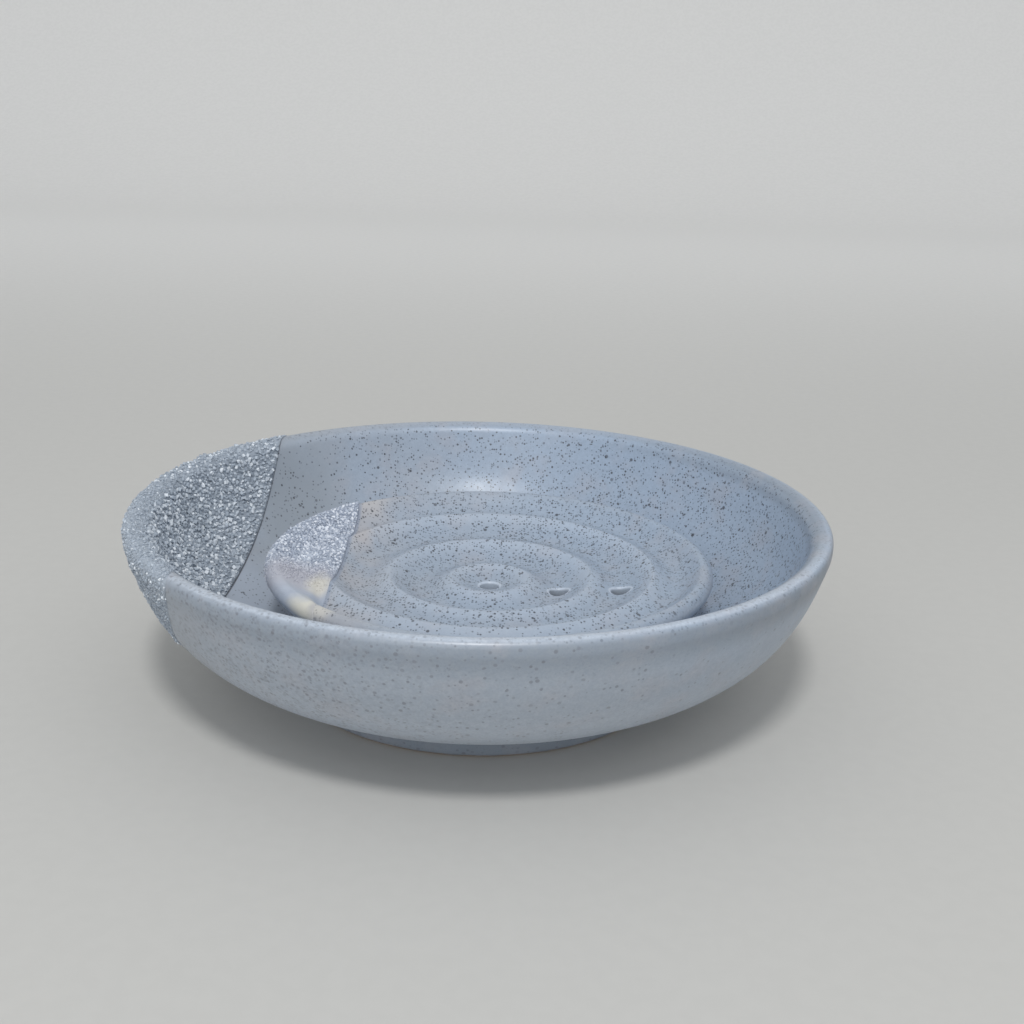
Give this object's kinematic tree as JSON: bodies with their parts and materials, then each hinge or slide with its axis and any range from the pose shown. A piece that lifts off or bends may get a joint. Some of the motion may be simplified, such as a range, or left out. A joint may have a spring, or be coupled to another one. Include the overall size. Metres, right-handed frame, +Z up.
{
  "type": "soap dish",
  "caption": "Round stoneware soap dish: a footed catch bowl and a loose ringed drain plate with holes that stands in it, each with a patch of fired-on grit.",
  "frame": {"origin": "on the bowl's axis, at the level that its foot ring stands on", "axes": "+Z up along the bowl's axis, +X along the row of drain holes away from the grit, -Y towards the viewer"},
  "size_m": [0.131, 0.13, 0.035],
  "materials": {
    "glaze": "satin blue-grey glaze with dark brown specks",
    "grit": "coarse pale grit fired onto the glaze"
  },
  "bodies": {
    "catch_bowl": {"bowl": "glaze", "bowl_grit": "grit"},
    "plate": {"drain_plate": "glaze", "plate_grit": "grit"}
  },
  "joints": [
    {"name": "plate_lift", "type": "slide", "parent": "catch_bowl", "child": "plate", "axis": [0, 0, 1], "range_m": [0, 0.04]}
  ]
}
